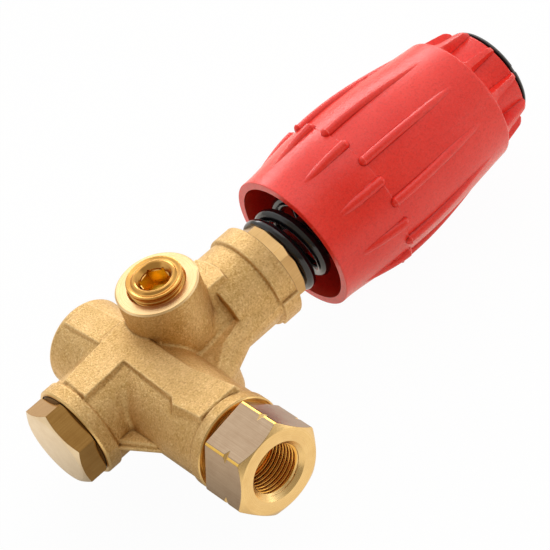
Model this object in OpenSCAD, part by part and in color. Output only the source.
// Unloader valve for a pressure washer: a forged brass body with a screwed
// outlet, a non-return valve, a spring-loaded bypass and a turning knob that
// sets the relief pressure.
// Frame: origin on the inlet port's axis where its full thread begins, just inside
// the mouth chamfer. +Y points out of the inlet and -Y out of the outlet, +X runs
// parallel to the knob axis towards the knob, +Z is the plugged boss.

/* [Ports] */
// Crest radius of the G3/8 female threads
port_r = 7.475; // [7.3:0.005:7.6]
// Radius of the chamfer at each port's mouth
port_mouth_r = 9.23; // [8.6:0.01:9.4]
// Distance from the knob axis to the outlet face
outlet_len = 61.7; // [60:0.1:66]
// Distance from the knob axis to the inlet face
inlet_len = 25.5; // [24:0.1:32]
// Distance from the knob axis to the bypass port's face
bypass_len = 24; // [23:0.1:30]

/* [Body] */
// Outside radius of the outlet arm
arm_r = 14.2; // [13.8:0.1:15]
// Outside radius of the neck under the knob
neck_r = 14.6; // [14.2:0.1:15.2]
// Outside radius of the collar at the top of the neck
collar_r = 15.6; // [15.2:0.1:16.4]
// Outside radius of the inlet boss
inlet_r = 13.8; // [12.6:0.1:14]
// Outside radius of the two bypass bosses
boss_r = 12.5; // [11.8:0.1:12.8]
// Distance along the knob axis of the bypass bosses
boss_x = 16.8; // [16.6:0.1:17.2]
// Height of the plugged boss above the knob axis
boss_h = 24.3; // [22.8:0.1:26]

/* [Hexagons] */
// Across-flats size of the outlet fitting
outlet_af = 27; // [26:0.5:30]
// Across-flats size of the bottom plug
plug_af = 24; // [23:0.5:27]
// Across-flats size of the bonnet
bonnet_af = 24; // [23:0.5:26]

/* [Spring] */
// Wire diameter of the main spring
wire_d = 4; // [3.6:0.1:4.2]
// Mean coil radius of the main spring
coil_r = 11.5; // [11.4:0.1:12.2]
// Number of turns of the main spring
coil_turns = 7; // [6:0.5:8]

/* [Knob] */
// Radius of the knob's skirt at its opening
skirt_r = 22.7; // [22.4:0.1:24]
// Inside radius of the knob's skirt
skirt_in_r = 20.2; // [19.6:0.1:20.6]
// Number of long grip ribs, with a short rib between each pair
ribs = 10; // [8:1:12]
// Half the width of a grip rib
rib_r = 1.25; // [1:0.05:1.6]

/* [Hidden] */
$fn = 96;

// x positions along the knob axis
x_plug_face = -32.4;
x_body_end = -25.2;
x_seat = 9;
x_neck_top = 50;
x_bonnet_top = 54.8;
x_knob_open = 62.1;
x_spring_top = 104;
x_plate_top = 107.5;
x_knob_end = 145.2;
x_cap = 147.65;

// distances from the knob axis towards the outlet
check_start = 13;    // shoulder under the non-return valve
fitting_start = 36;  // shoulder under the outlet fitting
arm_len = 45;        // end face of the outlet arm

port_chamfer = port_mouth_r - port_r;
inlet_thread_y = inlet_len - port_chamfer;

gap = 0.05;          // left between screwed or seated pieces
rest_gap = 0.03;     // left at the spring's ends and under the thrust washer
passage_r = 6;
throat_r = 6.5;      // passages of the bypass chamber
body_thread_r = 11;  // female threads for the bottom plug and outlet fitting
screw_r = 10.95;     // male threads of those two pieces
screw_neck_r = 10.45;
seal_bore_r = 12.6;  // O-ring seats outside those threads
tail_r = 3;          // thin end of the stem
tail_bore_r = 3.04;
stem_r = 5;
stem_bore_r = 5.06;
pilot_angle = 24.5;  // slope of the pilot channel from the knob axis

// O-ring grooves: [start, end] along the axis of the piece
plug_groove = [x_body_end, x_body_end + 2];
outlet_groove = [arm_len - 2, arm_len];
check_groove = [14.6, 16.3];
seat_groove = [4, 5.8];
piston_groove = [31.7, 35];
bonnet_groove = [39.4, 41.3];
stem_groove = [43.4, 45.7];
body_oring_r = 11.5;       // mean radius of the two body O-rings
body_oring_section = 0.95;

// colours shared by several pieces
plug_brass = [0.80, 0.64, 0.38];
fitting_brass = [0.82, 0.66, 0.40];
seat_steel = [0.75, 0.75, 0.77];
valve_steel = [0.72, 0.72, 0.74];
stem_steel = [0.7, 0.7, 0.72];
nut_steel = [0.6, 0.6, 0.62];
ring_rubber = [0.05, 0.05, 0.05];
seal_rubber = [0.08, 0.08, 0.08];

// --- placing: pieces are laid out from where the knob axis crosses the flow axis ---
module at_inlet() translate([0, -inlet_thread_y, 0]) children();
module along_x() rotate([0, 90, 0]) children();
module to_inlet() rotate([-90, 0, 0]) children();
module to_outlet() rotate([90, 0, 0]) children();
module at_boss() translate([boss_x, 0, 0]) children();

// --- turned shapes: a profile is a list of [distance along the axis, radius] ---
module revolve(profile) rotate_extrude() polygon([for (point = profile) [point[1], point[0]]]);
// a profile closed to the axis at both ends
module turned(profile)
    revolve(concat([[profile[0][0], 0]], profile, [[profile[len(profile) - 1][0], 0]]));
// plain cylinder and plain ring over a span [start, end]
module rod(span, radius) turned([[span[0], radius], [span[1], radius]]);
module band(span, in_r, out_r)
    revolve([[span[0], in_r], [span[0], out_r], [span[1], out_r], [span[1], in_r]]);
// O-ring centred in a groove
module oring(groove, radius, section)
    translate([0, 0, (groove[0] + groove[1]) / 2])
        rotate_extrude() translate([radius, 0]) circle(r = section);
// cutter points for a port's thread end and mouth chamfer
function port_mouth(face) =
    [[face - port_chamfer, port_r], [face, port_mouth_r], [face + 1, port_mouth_r]];

// --- hexagons and plates ---
module hex_bar(span, flats, turn)
    translate([0, 0, span[0]]) rotate([0, 0, turn])
        cylinder(r = flats / 2 / cos(30), h = span[1] - span[0], $fn = 6);
module hex_x(span, flats, turn = 0) along_x() hex_bar(span, flats, 90 + turn);
module hex_nut(span, flats, bore_r) difference() {
    hex_x(span, flats);
    along_x() rod([span[0] - 1, span[1] + 1], bore_r);
}
module plate(z, thickness, outline)
    translate([0, 0, z]) linear_extrude(thickness) polygon(outline);

// --- coil springs along +Z ---
// height of the wire's underside at a turn: closed end turns, even pitch between
function coil_z(turn, turns, height, wire) = let (end_pitch = wire * 1.002)
    turn < 1 ? turn * end_pitch
    : turn > turns - 1 ? height - wire - (turns - turn) * end_pitch
    : end_pitch + (turn - 1) * (height - wire - 2 * end_pitch) / (turns - 2);
// segments are counted per turn, sides around the wire
module coil(radius, wire, turns, height, segments = 18, sides = 8) {
    steps = floor(turns * segments);
    points = [for (i = [0:steps], j = [0:sides - 1])
        let (turn = i / segments, angle = 360 * turn, wire_angle = 360 * j / sides,
            reach = radius + wire / 2 * cos(wire_angle))
        [reach * cos(angle), reach * sin(angle),
            coil_z(turn, turns, height, wire) + wire / 2 + wire / 2 * sin(wire_angle)]];
    wall = [for (i = [0:steps - 1], j = [0:sides - 1]) let (k = (j + 1) % sides)
        [i * sides + j, i * sides + k, (i + 1) * sides + k, (i + 1) * sides + j]];
    first_end = [for (j = [sides - 1:-1:0]) j];
    last_end = [for (j = [0:sides - 1]) steps * sides + j];
    polyhedron(points = points, faces = concat(wall, [first_end, last_end]));
}

// --- valve body ---
// outlines in the XY plane: [x, y] from where the axes cross
neck_gusset = [[0, 0], [30, 0], [30, -13.5], [22, -16.5], [15, -22], [9, -29], [0, -30]];
inlet_gusset = [[0, 0], [0, 21], [12, 18], [22, 14], [30, 10], [30, 0]];
plug_gusset_low = [[0, 0], [-17, -10], [-17, -14], [-12.6, -23], [-8, -26], [0, -26]];
plug_gusset_mid = [[0, 0], [-21, -10], [-20.8, -14], [-14.2, -26.3], [-10, -28], [0, -28]];
plug_gusset_top = [[0, 0], [-20, -10], [-19.4, -14.1], [-14.2, -24.3], [-10, -26.3], [0, -27]];
arm_pad = [[-5.2, 22], [4.5, 22.5], [4.7, 6], [5.2, -14], [5.1, -24.2], [7.9, -40.5],
    [-5.7, -40.5], [-6.9, -30], [-5.3, -27.8], [-4.2, -5], [-19.4, -5.6], [-16.2, 5.2],
    [-3.8, 6.2]];
neck_pad = [[24, -6.1], [34.5, -6.1], [35.4, -2.5], [35.2, 2.4], [34, 6], [24, 6]];

module body_outside() {
    // arm that takes the bottom plug
    along_x() turned([[x_body_end, 14.3], [x_body_end + 0.5, 14.8], [-20.6, 14.8],
        [-19.9, 14.2], [2, 14.2]]);
    // outlet arm with its turned end ring
    to_outlet() turned([[0, arm_r], [arm_len - 4.4, arm_r], [arm_len - 4, arm_r + 0.5],
        [arm_len - 0.4, arm_r + 0.5], [arm_len, arm_r + 0.1]]);
    // inlet boss
    to_inlet() turned([[0, inlet_r], [inlet_len - 0.8, inlet_r], [inlet_len, inlet_r - 0.8]]);
    // waist, neck and collar
    along_x() turned([[0, 12], [28.5, 12], [30.5, neck_r], [41.6, neck_r], [43.2, collar_r],
        [48.6, collar_r], [x_neck_top, collar_r - 1.2]]);
    // plugged boss above, bypass boss below
    at_boss() turned([[-bypass_len, boss_r - 0.6], [0.6 - bypass_len, boss_r],
        [boss_h - 0.5, boss_r], [boss_h, boss_r - 0.5]]);
    // pilot channel rib from the outlet arm to the neck, and its lug on the collar
    translate([8, -23, 0]) rotate([0, 0, pilot_angle]) along_x() cylinder(r = 3.6, h = 26);
    translate([24, -15.2, 0]) along_x() cylinder(r = 2.8, h = 22);
    // gusset plates between the arms
    plate(-3.5, 7, neck_gusset);
    plate(-4, 2.4, plug_gusset_low);
    plate(-2, 1.3, plug_gusset_mid);
    plate(-1, 1.5, plug_gusset_top);
    plate(-3, 6, inlet_gusset);
    // raised flat pads on the upper side
    plate(6, 8.5, arm_pad);
    plate(6, 9.3, neck_pad);
}
module body_bores() {
    // bottom plug end: O-ring seat, thread, chamber and bypass seat bore
    along_x() turned([[x_body_end - 1, seal_bore_r], [plug_groove[1], seal_bore_r],
        [plug_groove[1], body_thread_r], [-12, body_thread_r], [-11, 8.55], [x_seat, 8.55]]);
    // bypass chamber, piston cylinder, pilot chamber and bonnet thread
    along_x() turned([[x_seat - 1, throat_r], [24, throat_r], [24, 9], [36.5, 9],
        [36.5, 10.5], [42.6, 10.5], [42.6, 12], [x_neck_top - 0.6, 12], [x_neck_top + 0.4, 13]]);
    // outlet arm: passage, non-return valve bore, thread and O-ring seat
    to_outlet() turned([[0, passage_r], [check_start, passage_r], [check_start, 9.5],
        [fitting_start, 9.5], [fitting_start, body_thread_r], [outlet_groove[0], body_thread_r],
        [outlet_groove[0], seal_bore_r], [arm_len + 1, seal_bore_r]]);
    // inlet port
    to_inlet() turned(concat([[0, passage_r], [10.5, passage_r], [10.5, port_r]],
        port_mouth(inlet_len)));
    // bypass port below, bypass passage and plug thread above
    at_boss() turned([[-bypass_len - 1, port_mouth_r], [-bypass_len, port_mouth_r],
        [-bypass_len + port_chamfer, port_r], [-11.5, port_r], [-11.5, throat_r],
        [10, throat_r], [10, 8.38], [boss_h - 0.4, 8.38], [boss_h + 0.1, 8.9], [boss_h + 1, 8.9]]);
    // pilot hole from the outlet side to the pilot chamber
    translate([9.2, -22.5, 0]) rotate([0, 0, pilot_angle]) along_x()
        translate([0, 0, -3]) cylinder(r = 1.3, h = 33.9, $fn = 32);
}
module valve_body() color([0.80, 0.62, 0.35]) at_inlet() difference() {
    body_outside();
    body_bores();
}

// --- bottom plug ---
module bottom_plug() color(plug_brass) at_inlet() difference() {
    hex_end = x_body_end - gap;
    union() {
        intersection() {
            hex_x([x_plug_face, hex_end], plug_af, -25.4);
            along_x() turned([[x_plug_face, 11.4], [x_plug_face + 0.25, 12.1],
                [x_plug_face + 1.2, 14], [-26.5, 14], [hex_end, 12.4]]);
        }
        along_x() turned([[x_body_end - 1, screw_neck_r], [-23.1, screw_neck_r],
            [-22.7, screw_r], [-13.6, screw_r], [-12.9, 10.2]]);
    }
    along_x() revolve([[-24, 0], [-22, 7], [-12, 7], [-12, 0]]);
}
module bottom_plug_oring() color(ring_rubber) at_inlet()
    along_x() oring(plug_groove, body_oring_r, body_oring_section);

// --- outlet fitting and its seal ---
module outlet_fitting() color(fitting_brass) at_inlet() difference() {
    union() {
        intersection() {
            to_outlet() hex_bar([arm_len + gap, outlet_len], outlet_af, 10.4);
            to_outlet() turned([[arm_len + gap, 13.2], [arm_len + 1, 13.2], [arm_len + 1, 16],
                [outlet_len - 1.5, 16], [outlet_len, 13.35]]);
        }
        to_outlet() turned([[fitting_start + gap, 10.2], [36.8, screw_r], [42.8, screw_r],
            [43.1, screw_neck_r], [arm_len + 1, screw_neck_r]]);
    }
    to_outlet() turned(concat([[fitting_start - 1, passage_r], [48.6, passage_r],
        [49.2, port_r]], port_mouth(outlet_len)));
}
module outlet_oring() color(ring_rubber) at_inlet()
    to_outlet() oring(outlet_groove, body_oring_r, body_oring_section);

// --- non-return valve in the outlet arm ---
module check_seat() color(seat_steel) at_inlet() difference() {
    to_outlet() rod([check_start + 0.02, 18], 9.42);
    to_outlet() turned([[12, 5], [17.6, 5], [18.1, 5.5], [19, 5.5]]);
    to_outlet() band(check_groove, 7.9, 10);
}
module check_seat_oring() color(ring_rubber) at_inlet()
    to_outlet() oring(check_groove, 8.7, 0.76);
module check_poppet() color(valve_steel) at_inlet()
    to_outlet() turned([[18.1, 3.6], [18.6, 4.15], [19.08, 4.15], [19.08, 7.2], [21, 7.2],
        [21.5, 6.7], [21.5, 2.5], [36.2, 2.5], [36.6, 2.1]]);
module check_poppet_seal() color(seal_rubber) at_inlet()
    to_outlet() revolve([[18.04, 5.6], [18.04, 6.9], [19.04, 6.9], [19.04, 4.2], [18.7, 4.2]]);
module check_spring() color(stem_steel) at_inlet() to_outlet() translate([0, 0, 21.54])
    coil(radius = 4.6, wire = 0.9, turns = 5.5, height = 12.9, segments = 14, sides = 6);
// disc with four flow holes round the poppet's stem
module check_guide() color([0.78, 0.78, 0.72]) at_inlet() difference() {
    to_outlet() rod([34.5, fitting_start - gap], 9.4);
    to_outlet() rod([34, 36.5], 2.56);
    for (angle = [0:90:359])
        to_outlet() rotate([0, 0, angle]) translate([6.2, 0, 34])
            cylinder(r = 1.9, h = 3, $fn = 32);
}

// --- bypass seat, shutter and stem ---
module bypass_seat() color(seat_steel) at_inlet() difference() {
    along_x() rod([0.5, x_seat - 0.02], 8.5);
    along_x() turned([[0, 5.26], [1.52, 4.5], [8.5, 4.5], [9, 5], [10, 5]]);
    along_x() band(seat_groove, 7, 9);
}
module bypass_seat_oring() color(ring_rubber) at_inlet()
    along_x() oring(seat_groove, 7.77, 0.74);
module bypass_shutter() color(valve_steel) at_inlet()
    along_x() revolve([[-6, tail_bore_r], [-6, 5.6], [-5.4, 6.2], [-2, 6.2], [3.2, 3.6],
        [3.2, tail_bore_r]]);
module shutter_nut() color(nut_steel) at_inlet() hex_nut([-10.2, -6.04], 10, tail_bore_r);
module stem() color(stem_steel) at_inlet()
    along_x() turned([[-10.8, tail_r - 0.5], [-10.3, tail_r], [30.75, tail_r], [30.75, 4],
        [36, 4], [36, stem_r], [130.2, stem_r], [131, stem_r - 0.8]]);

// --- pilot piston ---
module pilot_piston() color([0.80, 0.66, 0.40]) at_inlet() difference() {
    along_x() revolve([[30.66, 4.05], [30.66, 8.6], [31, 8.94], [35.6, 8.94], [35.94, 8.6],
        [35.94, 4.05]]);
    along_x() band(piston_groove, 6.9, 10);
}
module piston_oring() color(ring_rubber) at_inlet() along_x() oring(piston_groove, 7.95, 0.97);
// one ring on each side of the O-ring
module piston_backup_rings() color([0.93, 0.92, 0.88]) at_inlet()
    for (span = [[31.74, 32.33], [34.37, 34.96]])
        along_x() band(span, 6.95, 8.93);
module piston_nut() color(nut_steel) at_inlet() hex_nut([26.5, 30.62], 10, tail_bore_r);

// --- bonnet that closes the neck and guides the stem ---
module bonnet() color(fitting_brass) at_inlet() difference() {
    hex_start = x_neck_top + gap;
    union() {
        intersection() {
            hex_x([hex_start, x_bonnet_top], bonnet_af, 21.3);
            along_x() turned([[hex_start, 14], [x_bonnet_top - 0.9, 14], [x_bonnet_top, 13.1]]);
        }
        along_x() turned([[38.3, 10], [38.7, 10.4], [42.66, 10.4], [43.3, 11.95],
            [x_neck_top + 1, 11.95]]);
    }
    along_x() turned([[38, stem_bore_r], [stem_groove[0], stem_bore_r], [stem_groove[0], 7],
        [stem_groove[1], 7], [stem_groove[1], stem_bore_r], [51.5, stem_bore_r], [51.5, 7.5],
        [x_bonnet_top + 0.2, 7.5]]);
    along_x() band(bonnet_groove, 8.55, 11);
}
module bonnet_oring() color(ring_rubber) at_inlet() along_x() oring(bonnet_groove, 9.5, 0.9);
module stem_oring() color(ring_rubber) at_inlet() along_x() oring(stem_groove, 6.02, 0.93);
module stem_wiper() color(seal_rubber) at_inlet()
    along_x() revolve([[51.56, 5.07], [51.56, 7.44], [54.6, 7.44], [54.6, 5.6], [54.2, 5.07]]);

// --- main spring and the plate on top of it ---
module main_spring() color([0.04, 0.04, 0.04]) at_inlet()
    translate([x_bonnet_top + rest_gap, 0, 0]) along_x()
        coil(coil_r, wire_d, coil_turns, x_spring_top - x_bonnet_top - 2 * rest_gap);
module spring_plate() color([0.65, 0.66, 0.68]) at_inlet()
    along_x() revolve([[98.5, stem_bore_r], [98.5, 8.3], [99.2, 9], [x_spring_top, 9],
        [x_spring_top, 13.6], [x_plate_top - 0.5, 13.6], [x_plate_top, 13.1],
        [x_plate_top, stem_bore_r]]);
module thrust_washer() color([0.75, 0.6, 0.35]) at_inlet()
    along_x() band([x_plate_top + rest_gap, 109], 5.3, 10.8);

// --- knob, its threaded insert, the stop nuts and the end cap ---
module knob_insert() color(plug_brass) at_inlet() hex_nut([109.05, 119.55], 22, 5.05);
module stop_nuts() color(nut_steel) at_inlet()
    // each nut: [start x, turn]
    for (nut = [[119.66, 0], [124.72, 12]]) difference() {
        hex_x([nut[0], nut[0] + 5], 16, nut[1]);
        translate([nut[0] - 1, 0, 0]) along_x() cylinder(r = 5.03, h = 7);
    }

first_rib_angle = 87;
rib_step = 360 / ribs;
hub_r = 16;
cap_bore_r = 12.4;
// skirt outside: [x, radius added to skirt_r]
skirt_outline = [[x_knob_open, -0.4], [x_knob_open + 0.4, 0], [68, 0.3], [73, 0.8],
    [78.5, 1.4], [86.4, 1.7], [86.6, 1.4], [100, 1.4], [107, 1.1], [115, 0.3], [123, -0.7],
    [130, -1.1], [132.6, -1.6], [134.2, -3]];
// rib side outlines: [x, distance from the knob axis]
long_rib = [[86.2, 20.6], [86.2, 25.2], [87, 25.6], [100, 25.2], [112, 24.1], [125, 21.6],
    [125, 20.6]];
short_rib = [[69, 21.5], [69, 22.9], [78, 25], [86.6, 25.6], [87.4, 25.2], [87.4, 21.5]];
hub_rib = [[132, 12.8], [132, 20.6], [134.6, 19.9], [136, 19.5], [141.6, 18.9], [143.6, 17.7],
    [144.6, 16.2], [144.6, 12.8]];

// flat rib standing on the knob
module rib(outline, angle) rotate([angle, 0, 0]) plate(-rib_r, 2 * rib_r, outline);
module knob() color([0.83, 0.20, 0.16]) at_inlet() difference() {
    union() {
        along_x() turned(concat([for (point = skirt_outline) [point[0], skirt_r + point[1]]],
            [[135, hub_r], [x_knob_end - 0.5, hub_r], [x_knob_end, hub_r - 0.5]]));
        for (k = [0:ribs - 1]) {
            angle = first_rib_angle + k * rib_step;
            rib(long_rib, angle);
            rib(short_rib, angle + rib_step / 2);
            rib(hub_rib, angle);
        }
    }
    // skirt cavity, leaving the wall round the insert
    difference() {
        along_x() turned([[x_knob_open - 1, skirt_in_r], [116.5, skirt_in_r - 0.4],
            [117.5, skirt_in_r - 1.4]]);
        along_x() band([108, 118], 9, 15.5);
    }
    // pocket for the insert
    hex_x([105, 119.6], 22.08);
    // floor hole, room for the stop nuts and cap bore
    along_x() turned([[119, 9.8], [121.5, 9.8], [121.5, 18], [131, 18], [131.2, cap_bore_r],
        [x_knob_end + 1, cap_bore_r]]);
}
module knob_cap() color([0.10, 0.10, 0.11]) at_inlet()
    along_x() revolve([[139.5, 10.8], [139.5, 12.1], [139.8, 12.35], [x_knob_end + gap, 12.35],
        [x_knob_end + gap, 15.6], [x_knob_end + 0.5, 15.8], [146.8, 15.2], [x_cap - 0.1, 14.3],
        [x_cap, 0], [145.5, 0], [145.5, 10.8]]);

// --- plug in the upper boss, with a hexagon socket ---
module bypass_plug() color([0.86, 0.66, 0.30]) at_inlet() at_boss() difference() {
    turned([[12, 7.6], [12.7, 8.33], [boss_h + 1.9, 8.33], [boss_h + 2.4, 7.9],
        [boss_h + 2.7, 7.2], [boss_h + 2.5, 6.7], [boss_h + 2.7, 6.3], [boss_h + 3, 5.6]]);
    hex_bar([boss_h - 4, boss_h + 6], 8, 15);
    turned([[boss_h + 2.2, 4.2], [boss_h + 3.1, 5.3], [boss_h + 4, 5.3]]);
}

valve_body();
bottom_plug();
bottom_plug_oring();
outlet_fitting();
outlet_oring();
check_seat();
check_seat_oring();
check_poppet();
check_poppet_seal();
check_spring();
check_guide();
bypass_seat();
bypass_seat_oring();
bypass_shutter();
shutter_nut();
stem();
pilot_piston();
piston_oring();
piston_backup_rings();
piston_nut();
bonnet();
bonnet_oring();
stem_oring();
stem_wiper();
main_spring();
spring_plate();
thrust_washer();
knob_insert();
knob();
knob_cap();
stop_nuts();
bypass_plug();
